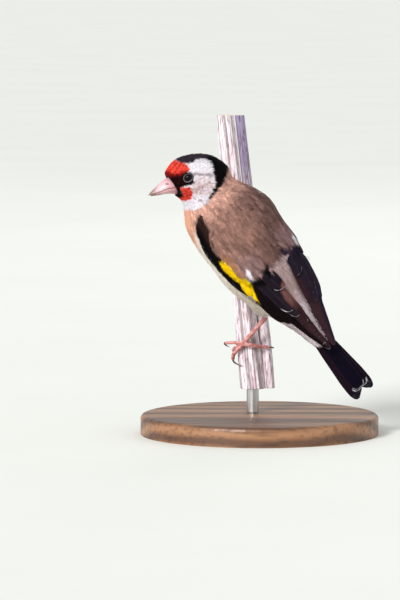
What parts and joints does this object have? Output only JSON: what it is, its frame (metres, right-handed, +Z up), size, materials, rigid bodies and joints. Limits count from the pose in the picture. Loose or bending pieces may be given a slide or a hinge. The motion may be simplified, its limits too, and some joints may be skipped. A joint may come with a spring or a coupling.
{
  "type": "european goldfinch",
  "caption": "Life-size small finch with a red face, black wings with a yellow band and a forked black tail, gripping a dry stem on a plain display stand.",
  "frame": {"origin": "middle of the display base's underside", "axes": "+Z up, -Y towards the first viewer, who sees the bird from its back-left, and +X to that viewer's right, which is the tail's side"},
  "size_m": [0.096, 0.096, 0.128],
  "materials": {
    "plumage_head": "red face, white cheek and black crown of soft feathers",
    "plumage_body": "warm brown and white soft feathers",
    "plumage_flight": "black flight feathers with a yellow band and white tips",
    "bill_horn": "pale ivory-pink horn",
    "claw_horn": "dark brown horn",
    "leg_skin": "scaled pinkish-brown skin",
    "eye_dark": "glossy near-black eye",
    "dry_stem": "weathered pale dry stem",
    "stand_wood": "satin stained wood",
    "stand_metal": "brushed steel rod"
  },
  "bodies": {
    "root": {"bill_lower": "bill_horn", "bill_upper": "bill_horn", "claw_left_1": "claw_horn", "claw_left_2": "claw_horn", "claw_left_3": "claw_horn", "claw_left_4": "claw_horn", "claw_right_1": "claw_horn", "claw_right_2": "claw_horn", "claw_right_3": "claw_horn", "claw_right_4": "claw_horn", "eye_left": "eye_dark", "eye_right": "eye_dark", "foot_left": "leg_skin", "foot_right": "leg_skin", "head": "plumage_head", "neck": "plumage_body", "perch_stem": "dry_stem", "rump": "plumage_body", "stand_base": "stand_wood", "stand_rod": "stand_metal", "tail": "plumage_flight", "tarsus_left": "leg_skin", "tarsus_right": "leg_skin", "thigh_left": "plumage_body", "thigh_right": "plumage_body", "torso": "plumage_body", "wing_left": "plumage_flight", "wing_right": "plumage_flight"}
  },
  "joints": []
}
